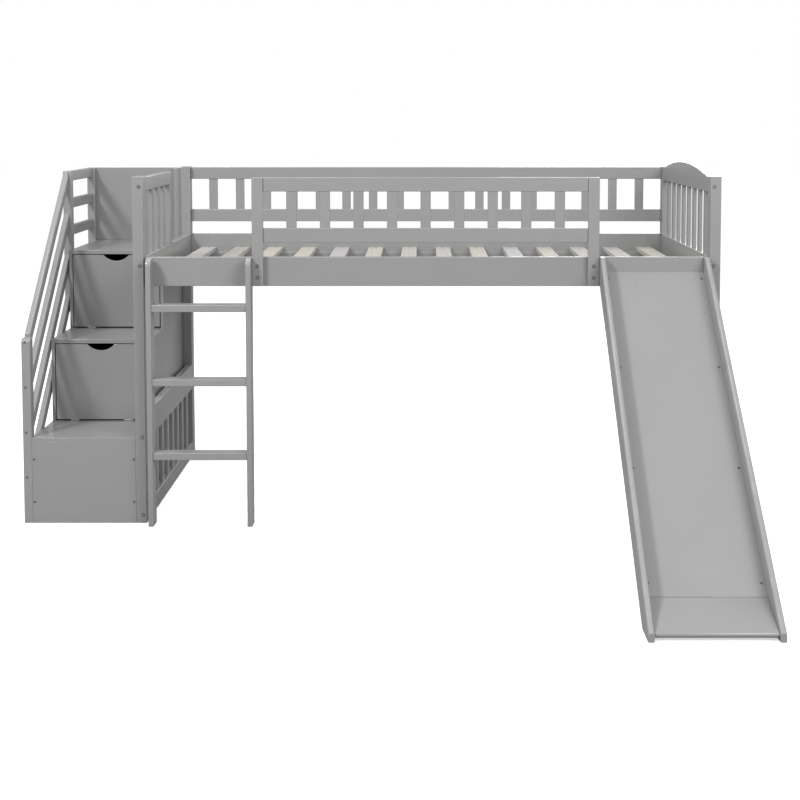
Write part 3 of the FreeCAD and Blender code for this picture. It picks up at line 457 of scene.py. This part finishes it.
FINISHES = {
    "painted_wood": PAINTED_TIMBER,
    "painted_panel": PAINTED_PANEL,
    "bare_wood": BARE_POPLAR,
    "dark_steel": DARK_ZINC,
    "catch_plastic": MOULDED_WHITE,
}
SLOT_OF = {part["node"]: part["material_slot"] for part in frame["record"]["subparts"]}
BODY_OF = {
    node: body for body, nodes in frame["record"]["behaviour"]["bodies"].items() for node in nodes
}


# Solids of the frame ------------------------------------------------------------------------


def solids_of(node):
    """The separate solids of a CAD node, each as a bmesh with its doubles merged."""
    whole = bmesh.new()
    whole.from_mesh(frame["nodes"][node].data)
    bmesh.ops.remove_doubles(whole, verts=whole.verts, dist=MERGE)
    whole.verts.ensure_lookup_table()
    seen = set()
    groups = []
    for vert in whole.verts:
        if vert.index in seen:
            continue
        group, stack = [], [vert]
        seen.add(vert.index)
        while stack:
            current = stack.pop()
            group.append(current)
            for edge in current.link_edges:
                other = edge.other_vert(current)
                if other.index not in seen:
                    seen.add(other.index)
                    stack.append(other)
        groups.append(group)
    solids = [copy_of(group) for group in groups]
    whole.free()
    return solids


def copy_of(verts):
    """A new bmesh that holds these vertices and the faces between them."""
    solid = bmesh.new()
    new = {vert: solid.verts.new(vert.co) for vert in verts}
    for face in dict.fromkeys(face for vert in verts for face in vert.link_faces):
        solid.faces.new([new[vert] for vert in face.verts])
    solid.normal_update()
    return solid


def corner_points(solid):
    return np.array([vert.co[:] for vert in solid.verts])


def seed_of(point):
    """A number from 0 to 1 that depends only on a place."""
    wave = point[0] * SCATTER[0] + point[1] * SCATTER[1] + point[2] * SCATTER[2]
    value = math.sin(wave) * SCATTER_SIZE
    return value - math.floor(value)


def close_up(solid):
    """Replace a convex solid by its hull, which drops the holes that its own screws fill."""
    hull = bmesh.ops.convex_hull(solid, input=solid.verts)
    leftover = set(hull["geom_interior"]) | set(hull["geom_unused"])
    kept = set(hull["geom"])
    spare = [vert for vert in solid.verts if vert in leftover]
    bmesh.ops.delete(solid, geom=spare, context="VERTS")
    old = [face for face in solid.faces if face not in kept]
    bmesh.ops.delete(solid, geom=old, context="FACES")


def flatten(solid):
    """Join the triangles of each flat side into one face."""
    edges = list(solid.edges)
    verts = list(solid.verts)
    bmesh.ops.dissolve_limit(solid, angle_limit=SAME_PLANE, verts=verts, edges=edges)
    solid.normal_update()


def long_directions(solid):
    """The directions along, across and through a board: its longest edge and broadest face."""
    edge = max(solid.edges, key=lambda item: item.calc_length())
    along = (edge.verts[1].co - edge.verts[0].co).normalized()
    side = max(solid.faces, key=lambda item: item.calc_area())
    through = side.normal.normalized()
    across = through.cross(along).normalized()
    return along, across, through


def runs_along(edge, direction):
    """Whether an edge lies along a direction."""
    return abs((edge.verts[1].co - edge.verts[0].co).normalized().dot(direction)) > ALONG


def sharp_edges(solid):
    """Edges that are neither gentle nor between two faces that are rounded already."""
    rounded = solid.faces.layers.float["edge"]
    return [
        edge for edge in solid.edges
        if edge.calc_face_angle(0.0) > SHARPEST and not all(face[rounded] for face in edge.link_faces)
    ]


def bevel(solid, edges, radius):
    """Round these edges, and mark the new faces in the solid's edge layer."""
    rounded = solid.faces.layers.float["edge"]
    result = bmesh.ops.bevel(
        solid,
        geom=edges,
        offset=radius,
        offset_type="OFFSET",
        segments=EDGE_SEGMENTS,
        profile=0.5,
        affect="EDGES",
        clamp_overlap=True,
    )
    for face in result["faces"]:
        face.smooth = True
        face[rounded] = 1.0


def round_edges(solid, radius, along, long_radius):
    """Round the sharp edges of a solid, those along it by their own radius where one is given."""
    solid.faces.layers.float.new("edge")
    gentle = [edge for edge in solid.edges if STRAIGHT < edge.calc_face_angle(0.0) <= SHARPEST]
    for edge in gentle:
        for face in edge.link_faces:
            face.smooth = True
    if long_radius:
        bevel(solid, [edge for edge in sharp_edges(solid) if runs_along(edge, along)], long_radius)
    bevel(solid, sharp_edges(solid), radius)


def add_solid(solid, place, whole, whole_layers):
    """Append a finished solid to the bmesh that holds all of a piece's boards."""
    along, across, through, board = place
    rounded = solid.faces.layers.float.get("edge")
    new = {}
    for vert in solid.verts:
        copy = whole.verts.new(vert.co)
        spot = vert.co
        copy[whole_layers[0]] = (spot.dot(along), spot.dot(across), spot.dot(through))
        copy[whole_layers[1]] = board
        new[vert] = copy
    for face in solid.faces:
        copy = whole.faces.new([new[vert] for vert in face.verts])
        copy.smooth = face.smooth
        copy[whole_layers[2]] = face[rounded] if rounded else 0.0


def show_piece(name, mesh, nodes, body, finish):
    """Put a finished mesh in the scene in place of the CAD nodes."""
    mesh.name = name
    mesh.materials.clear()
    mesh.materials.append(finish)
    piece = bpy.data.objects.new(name, mesh)
    bpy.context.scene.collection.objects.link(piece)
    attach(piece, body)
    if nodes:
        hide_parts(*nodes)


def finished_boards(node, radius, convex=True, long_radius=0.0):
    """Rounded boards in place of a node's plain ones, with the lie of the grain on each."""
    whole = bmesh.new()
    layers = (
        whole.verts.layers.float_vector.new("grain_place"),
        whole.verts.layers.float.new("board"),
        whole.faces.layers.float.new("edge"),
    )
    for solid in solids_of(node):
        if convex:
            close_up(solid)
        flatten(solid)
        along, across, through = long_directions(solid)
        centre = corner_points(solid).mean(axis=0)
        round_edges(solid, radius, along, long_radius)
        add_solid(solid, (along, across, through, seed_of(centre)), whole, layers)
        solid.free()
    mesh = bpy.data.meshes.new(node + "_boards")
    whole.to_mesh(mesh)
    whole.free()
    slot = SLOT_OF[node]
    show_piece("finished_" + node, mesh, [node], BODY_OF[node], FINISHES[slot])


# Rows of slats ------------------------------------------------------------------------------


def geometry_tree(name, inputs):
    """A geometry node tree with named inputs; returns it with its input and output nodes."""
    sockets = [(label, "NodeSocket" + kind, default) for label, kind, default in inputs]
    outputs = [("Geometry", "NodeSocketGeometry")]
    return new_group(name, "GeometryNodeTree", sockets, outputs)


def store_value(tree, geometry, name, value, domain, kind="FLOAT"):
    node = new_node(tree, "GeometryNodeStoreNamedAttribute", data_type=kind, domain=domain)
    node.inputs["Name"].default_value = name
    join(tree, geometry, node.inputs["Geometry"])
    join(tree, value, node.inputs["Value"])
    return node.outputs["Geometry"]


def rounded_face_mask(tree):
    """True on faces that look along none of the three axes: a slat's rounded edges."""
    normal = tree.nodes.new("GeometryNodeInputNormal")
    size = new_node(tree, "ShaderNodeVectorMath", operation="ABSOLUTE")
    join(tree, normal.outputs[0], size.inputs[0])
    apart = tree.nodes.new("ShaderNodeSeparateXYZ")
    join(tree, size.outputs[0], apart.inputs[0])
    largest = math_node(tree, "MAXIMUM", apart.outputs["X"], apart.outputs["Y"])
    largest = math_node(tree, "MAXIMUM", largest, apart.outputs["Z"])
    return math_node(tree, "LESS_THAN", largest, FLAT)


def slat_row_tree():
    """A row of equal slats along a line: rounded section, own length, equal steps."""
    inputs = [
        ("Count", "Int", 8),
        ("Width", "Float", 0.035),
        ("Thickness", "Float", 0.012),
        ("Length", "Float", 0.2),
        ("Edge Radius", "Float", SLAT_EDGE),
        ("First", "Vector", None),
        ("Step", "Vector", None),
        ("Turn", "Rotation", None),
        ("Tone Seed", "Int", 1),
        ("Finish", "Material", None),
    ]
    tree, start, end = geometry_tree("slat_row", inputs)
    section = tree.nodes.new("GeometryNodeCurvePrimitiveQuadrilateral")
    join(tree, start.outputs["Width"], section.inputs["Width"])
    join(tree, start.outputs["Thickness"], section.inputs["Height"])
    fillet = new_node(tree, "GeometryNodeFilletCurve", mode="POLY")
    fillet.inputs["Count"].default_value = EDGE_SEGMENTS
    join(tree, section.outputs[0], fillet.inputs["Curve"])
    join(tree, start.outputs["Edge Radius"], fillet.inputs["Radius"])
    half = math_node(tree, "MULTIPLY", start.outputs["Length"], 0.5)
    low = tree.nodes.new("ShaderNodeCombineXYZ")
    high = tree.nodes.new("ShaderNodeCombineXYZ")
    join(tree, math_node(tree, "MULTIPLY", half, -1.0), low.inputs["Z"])
    join(tree, half, high.inputs["Z"])
    line = tree.nodes.new("GeometryNodeCurvePrimitiveLine")
    join(tree, low.outputs[0], line.inputs["Start"])
    join(tree, high.outputs[0], line.inputs["End"])
    slat = new_node(tree, "GeometryNodeCurveToMesh", in_Fill_Caps=True)
    join(tree, line.outputs[0], slat.inputs["Curve"])
    join(tree, fillet.outputs[0], slat.inputs["Profile Curve"])
    mask = rounded_face_mask(tree)
    marked = store_value(tree, slat.outputs[0], "edge", mask, "FACE")
    smooth = tree.nodes.new("GeometryNodeSetShadeSmooth")
    join(tree, marked, smooth.inputs["Geometry"])
    join(tree, mask, smooth.inputs["Shade Smooth"])
    spot = tree.nodes.new("GeometryNodeInputPosition")
    apart = tree.nodes.new("ShaderNodeSeparateXYZ")
    join(tree, spot.outputs[0], apart.inputs[0])
    turned = tree.nodes.new("ShaderNodeCombineXYZ")
    for source, target in (("Z", "X"), ("X", "Y"), ("Y", "Z")):
        join(tree, apart.outputs[source], turned.inputs[target])
    grained = store_value(
        tree, smooth.outputs[0], "grain_place", turned.outputs[0], "POINT", "FLOAT_VECTOR"
    )
    points = new_node(tree, "GeometryNodeMeshLine", mode="OFFSET")
    join(tree, start.outputs["Count"], points.inputs["Count"])
    join(tree, start.outputs["First"], points.inputs["Start Location"])
    join(tree, start.outputs["Step"], points.inputs["Offset"])
    row = tree.nodes.new("GeometryNodeInstanceOnPoints")
    join(tree, points.outputs[0], row.inputs["Points"])
    join(tree, grained, row.inputs["Instance"])
    join(tree, start.outputs["Turn"], row.inputs["Rotation"])
    tone = new_node(tree, "FunctionNodeRandomValue", data_type="FLOAT")
    join(tree, start.outputs["Tone Seed"], tone.inputs["Seed"])
    toned = store_value(tree, row.outputs[0], "board", tone.outputs[1], "INSTANCE")
    solid = tree.nodes.new("GeometryNodeRealizeInstances")
    join(tree, toned, solid.inputs[0])
    coated = tree.nodes.new("GeometryNodeSetMaterial")
    join(tree, solid.outputs[0], coated.inputs["Geometry"])
    join(tree, start.outputs["Finish"], coated.inputs["Material"])
    join(tree, coated.outputs[0], end.inputs["Geometry"])
    return tree


def grown_mesh(tree, values, base=None):
    """Run a geometry node tree once with these named inputs, and return the plain mesh."""
    holder = bpy.data.objects.new("holder", base or bpy.data.meshes.new("holder"))
    bpy.context.scene.collection.objects.link(holder)
    modifier = holder.modifiers.new("tree", "NODES")
    modifier.node_group = tree
    for item in tree.interface.items_tree:
        if item.in_out == "INPUT" and item.name in values:
            modifier[item.identifier] = values[item.name]
    bpy.context.view_layer.update()
    graph = bpy.context.evaluated_depsgraph_get()
    grown = holder.evaluated_get(graph)
    mesh = bpy.data.meshes.new_from_object(grown, preserve_all_data_layers=True, depsgraph=graph)
    bpy.data.objects.remove(holder)
    return mesh


SLAT_ROW = slat_row_tree()


def slat_boxes(node):
    """Lowest and highest corners of every solid in a node, in order along the object."""
    boxes = []
    for solid in solids_of(node):
        points = corner_points(solid)
        boxes.append((points.min(axis=0), points.max(axis=0)))
        solid.free()
    return sorted(boxes, key=lambda box: tuple(np.round(box[0], 4)))


def row_mesh(boxes, radius, seed, finish):
    """One row of slats that fills these boxes, which are equal and evenly spaced."""
    centres = [(low + high) / 2 for low, high in boxes]
    size = boxes[0][1] - boxes[0][0]
    long_axis = int(np.argmax(size))
    thin_axis = int(np.argmin(size))
    wide_axis = 3 - long_axis - thin_axis
    step = (centres[-1] - centres[0]) / max(len(boxes) - 1, 1)
    turns = {
        (2, 0): (0.0, 0.0, 0.0),
        (2, 1): (0.0, 0.0, math.pi / 2),
        (1, 0): (math.pi / 2, 0.0, 0.0),
    }
    values = {
        "Count": len(boxes),
        "Width": float(size[wide_axis]),
        "Thickness": float(size[thin_axis]),
        "Length": float(size[long_axis]),
        "Edge Radius": radius,
        "First": [float(v) for v in centres[0]],
        "Step": [float(v) for v in step],
        "Turn": turns[(long_axis, wide_axis)],
        "Tone Seed": seed,
        "Finish": finish,
    }
    return grown_mesh(SLAT_ROW, values)


def joined(meshes):
    """One mesh from several, with their attributes kept."""
    whole = bmesh.new()
    for mesh in meshes:
        whole.from_mesh(mesh)
    result = bpy.data.meshes.new("joined")
    whole.to_mesh(result)
    whole.free()
    return result


def finished_row(node, radius, seed, rows=1):
    """Slats grown in place of a node's plain ones, in one row or several equal rows."""
    boxes = slat_boxes(node)
    each = len(boxes) // rows
    slot = SLOT_OF[node]
    finish = FINISHES[slot]
    parts = [boxes[k * each:(k + 1) * each] for k in range(rows)]
    meshes = [row_mesh(part, radius, seed + k, finish) for k, part in enumerate(parts)]
    mesh = meshes[0] if rows == 1 else joined(meshes)
    show_piece("finished_" + node, mesh, [node], BODY_OF[node], finish)


# Fastener heads -----------------------------------------------------------------------------


def rod_ends(node):
    """For each rod-like solid of a node: its middle, its direction and the radius at each end."""
    rods = []
    for solid in solids_of(node):
        points = corner_points(solid)
        centre = points.mean(axis=0)
        _, _, axes = np.linalg.svd(points - centre, full_matrices=False)
        along = (points - centre) @ axes[0]
        away = np.linalg.norm(points - centre - np.outer(along, axes[0]), axis=1)
        start, end = along.min(), along.max()
        near_start = along < start + ROD_END
        near_end = along > end - ROD_END
        radii = (away[near_start].max(), away[near_end].max())
        rods.append((centre, axes[0], (start, end), radii))
        solid.free()
    return rods


def head_places(node):
    """The outer centre of each head, and the way it faces."""
    places = []
    for centre, axis, (start, end), radii in rod_ends(node):
        side = start if radii[0] > radii[1] else end
        places.append((centre + axis * side, axis * math.copysign(1.0, side - (start + end) / 2)))
    return places


def head_tree():
    """Fastener heads on points: a chamfered disc with a socket, facing each point's axis."""
    inputs = [
        ("Points", "Geometry", None),
        ("Radius", "Float", 0.006),
        ("Height", "Float", 0.002),
        ("Socket Radius", "Float", 0.0025),
        ("Socket Sides", "Int", 6),
        ("Finish", "Material", None),
    ]
    tree, start, end = geometry_tree("fastener_heads", inputs)
    disc = new_node(tree, "GeometryNodeMeshCone", in_Vertices=HEAD_SIDES)
    join(tree, start.outputs["Radius"], disc.inputs["Radius Bottom"])
    brim = math_node(tree, "MULTIPLY", start.outputs["Radius"], HEAD_TAPER)
    join(tree, brim, disc.inputs["Radius Top"])
    join(tree, start.outputs["Height"], disc.inputs["Depth"])
    socket = tree.nodes.new("GeometryNodeMeshCylinder")
    join(tree, start.outputs["Socket Sides"], socket.inputs["Vertices"])
    join(tree, start.outputs["Socket Radius"], socket.inputs["Radius"])
    join(tree, start.outputs["Height"], socket.inputs["Depth"])
    lifted = tree.nodes.new("GeometryNodeTransform")
    shift = tree.nodes.new("ShaderNodeCombineXYZ")
    rise = math_node(tree, "MULTIPLY", start.outputs["Height"], SOCKET_RISE)
    join(tree, rise, shift.inputs["Z"])
    join(tree, socket.outputs["Mesh"], lifted.inputs["Geometry"])
    join(tree, shift.outputs[0], lifted.inputs["Translation"])
    cut = new_node(tree, "GeometryNodeMeshBoolean", operation="DIFFERENCE")
    join(tree, disc.outputs["Mesh"], cut.inputs["Mesh 1"])
    join(tree, lifted.outputs[0], cut.inputs["Mesh 2"])
    facing = new_node(tree, "GeometryNodeInputNamedAttribute", data_type="FLOAT_VECTOR")
    facing.inputs["Name"].default_value = "facing"
    turn = new_node(tree, "FunctionNodeAlignRotationToVector", axis="Z")
    join(tree, facing.outputs[0], turn.inputs["Vector"])
    heads = tree.nodes.new("GeometryNodeInstanceOnPoints")
    join(tree, start.outputs["Points"], heads.inputs["Points"])
    join(tree, cut.outputs["Mesh"], heads.inputs["Instance"])
    join(tree, turn.outputs[0], heads.inputs["Rotation"])
    solid = tree.nodes.new("GeometryNodeRealizeInstances")
    join(tree, heads.outputs[0], solid.inputs[0])
    coated = tree.nodes.new("GeometryNodeSetMaterial")
    join(tree, solid.outputs[0], coated.inputs["Geometry"])
    join(tree, start.outputs["Finish"], coated.inputs["Material"])
    join(tree, coated.outputs[0], end.inputs["Geometry"])
    return tree


HEADS = head_tree()


def finished_heads(name, places, sizes, finish):
    """Heads that stand a little proud at these (point, facing) places."""
    radius, proud, socket, sides = sizes
    sunk = proud - HEAD_HEIGHT / 2
    points = bpy.data.meshes.new(name + "_points")
    points.from_pydata([tuple(spot + facing * sunk) for spot, facing in places], [], [])
    facing_layer = points.attributes.new("facing", "FLOAT_VECTOR", "POINT")
    facing_layer.data.foreach_set("vector", np.array([f for _, f in places], "f").ravel())
    values = {
        "Radius": radius,
        "Height": HEAD_HEIGHT,
        "Socket Radius": socket,
        "Socket Sides": sides,
        "Finish": finish,
    }
    mesh = grown_mesh(HEADS, values, points)
    show_piece(name, mesh, [], "bed_frame", finish)


def nut_places(node):
    """The end of each barrel nut that faces the middle of the bed, and the way it faces."""
    low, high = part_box("bed_slats")
    middle = np.array((low + high) / 2)
    places = []
    for centre, axis, (start, end), _ in rod_ends(node):
        inward = math.copysign(1.0, float(np.dot(axis, middle - centre)))
        side = end if inward > 0 else start
        places.append((centre + axis * side, axis * inward))
    return places


# Build --------------------------------------------------------------------------------------

ROWS = {
    "headboard_slats": 1,
    "left_guard_slats": 1,
    "lower_end_slats": 2,
    "front_guard_slats": 1,
    "rear_guard_slats": 1,
}
SPECIAL_BOARDS = {
    "lower_flap_door": {"radius": PANEL_EDGE, "convex": False},
    "upper_flap_door": {"radius": PANEL_EDGE, "convex": False},
    "slide_side_boards": {"radius": BOARD_EDGE, "long_radius": SLIDE_EDGE},
    "slide_panel": {"radius": SLIDE_PANEL_EDGE},
    "slide_landing": {"radius": LANDING_EDGE},
}
METAL = ("frame_bolts", "wood_screws", "barrel_nuts")
HINGE_METAL = (
    "fixed_hinge_leaves",
    "lower_door_hinge_leaves",
    "upper_door_hinge_leaves",
    "lower_door_strike",
    "upper_door_strike",
)


def build_rows():
    finished_row("bed_slats", BARE_EDGE, BED_SLAT_SEED)
    for seed, (node, rows) in enumerate(ROWS.items(), ROW_SEED):
        finished_row(node, SLAT_EDGE, seed, rows)


def build_boards():
    not_boards = set(ROWS) | {"bed_slats", "door_catches"} | set(METAL) | set(HINGE_METAL)
    for node in frame["nodes"]:
        if node not in not_boards:
            edge = PANEL_EDGE if SLOT_OF[node] == "painted_panel" else BOARD_EDGE
            finished_boards(node, **SPECIAL_BOARDS.get(node, {"radius": edge}))


def coat(node, material):
    """Give a CAD node that keeps its own shape its material."""
    mesh = frame["nodes"][node].data
    mesh.materials.clear()
    mesh.materials.append(material)


def build_metal():
    bolts = head_places("frame_bolts")
    screws = head_places("wood_screws")
    nuts = nut_places("barrel_nuts")
    # Painted shade: a dark ring under each bolt head stands for the shadow in its counterbore
    finished_heads("bolt_shade_rings", bolts, BOLT_SHADE_RING, DARK_ZINC)
    finished_heads("bolt_heads", bolts, BOLT_HEAD, BRIGHT_ZINC)
    finished_heads("screw_heads", screws, SCREW_HEAD, SCREW_ZINC)
    finished_heads("nut_faces", nuts, NUT_FACE, DARK_ZINC)
    for node in METAL:
        coat(node, DARK_ZINC)
    for node in HINGE_METAL:
        coat(node, BRIGHT_ZINC)
    coat("door_catches", MOULDED_WHITE)


# Studio -------------------------------------------------------------------------------------


def soft_light(name, target, place, size, power):
    data = bpy.data.lights.new(name, "AREA")
    data.shape = "SQUARE"
    data.size = size
    data.energy = power
    light = bpy.data.objects.new(name, data)
    light.location = place
    aim = Vector(target) - Vector(place)
    light.rotation_euler = aim.to_track_quat("-Z", "Y").to_euler()
    bpy.context.scene.collection.objects.link(light)


def build_studio():
    low, high = (Vector(corner) for corner in cad_box)
    middle = (low + high) / 2
    world = bpy.data.worlds.new("studio")
    world.use_nodes = True
    backdrop = world.node_tree.nodes["Background"]
    backdrop.inputs["Color"].default_value = (1.0, 1.0, 1.0, 1.0)
    seen = world.node_tree.nodes.new("ShaderNodeLightPath").outputs["Is Camera Ray"]
    extra = math_node(world.node_tree, "MULTIPLY", seen, 1.0 - SKY)
    join(world.node_tree, math_node(world.node_tree, "ADD", extra, SKY), backdrop.inputs["Strength"])
    bpy.context.scene.world = world
    bpy.ops.mesh.primitive_plane_add(size=FLOOR_SIZE, location=(0.0, 0.0, low.z))
    floor = bpy.context.object
    floor.name = "floor"
    floor.data.materials.append(studio_floor())
    stairs = Vector((low.x, middle.y, low.z))
    soft_light("key", middle, *KEY_LIGHT)
    soft_light("top", middle, *TOP_LIGHT)
    soft_light("overhead", stairs, *OVERHEAD_LIGHT)
    soft_light("behind", middle, *REAR_LIGHT)


def build_camera():
    """Long lens, aimed a little down, with the frame shifted to hold the object."""
    data = bpy.data.cameras.new("camera")
    data.lens = CAMERA_LENS
    data.sensor_width = CAMERA_SENSOR
    data.shift_x, data.shift_y = CAMERA_SHIFT
    camera = bpy.data.objects.new("camera", data)
    camera.location = CAMERA_PLACE
    camera.rotation_euler = (math.radians(90.0 - CAMERA_DOWN), 0.0, 0.0)
    bpy.context.scene.collection.objects.link(camera)
    bpy.context.scene.camera = camera


build_rows()
build_boards()
build_metal()
build_studio()
build_camera()
bpy.context.scene.view_settings.view_transform = "Standard"
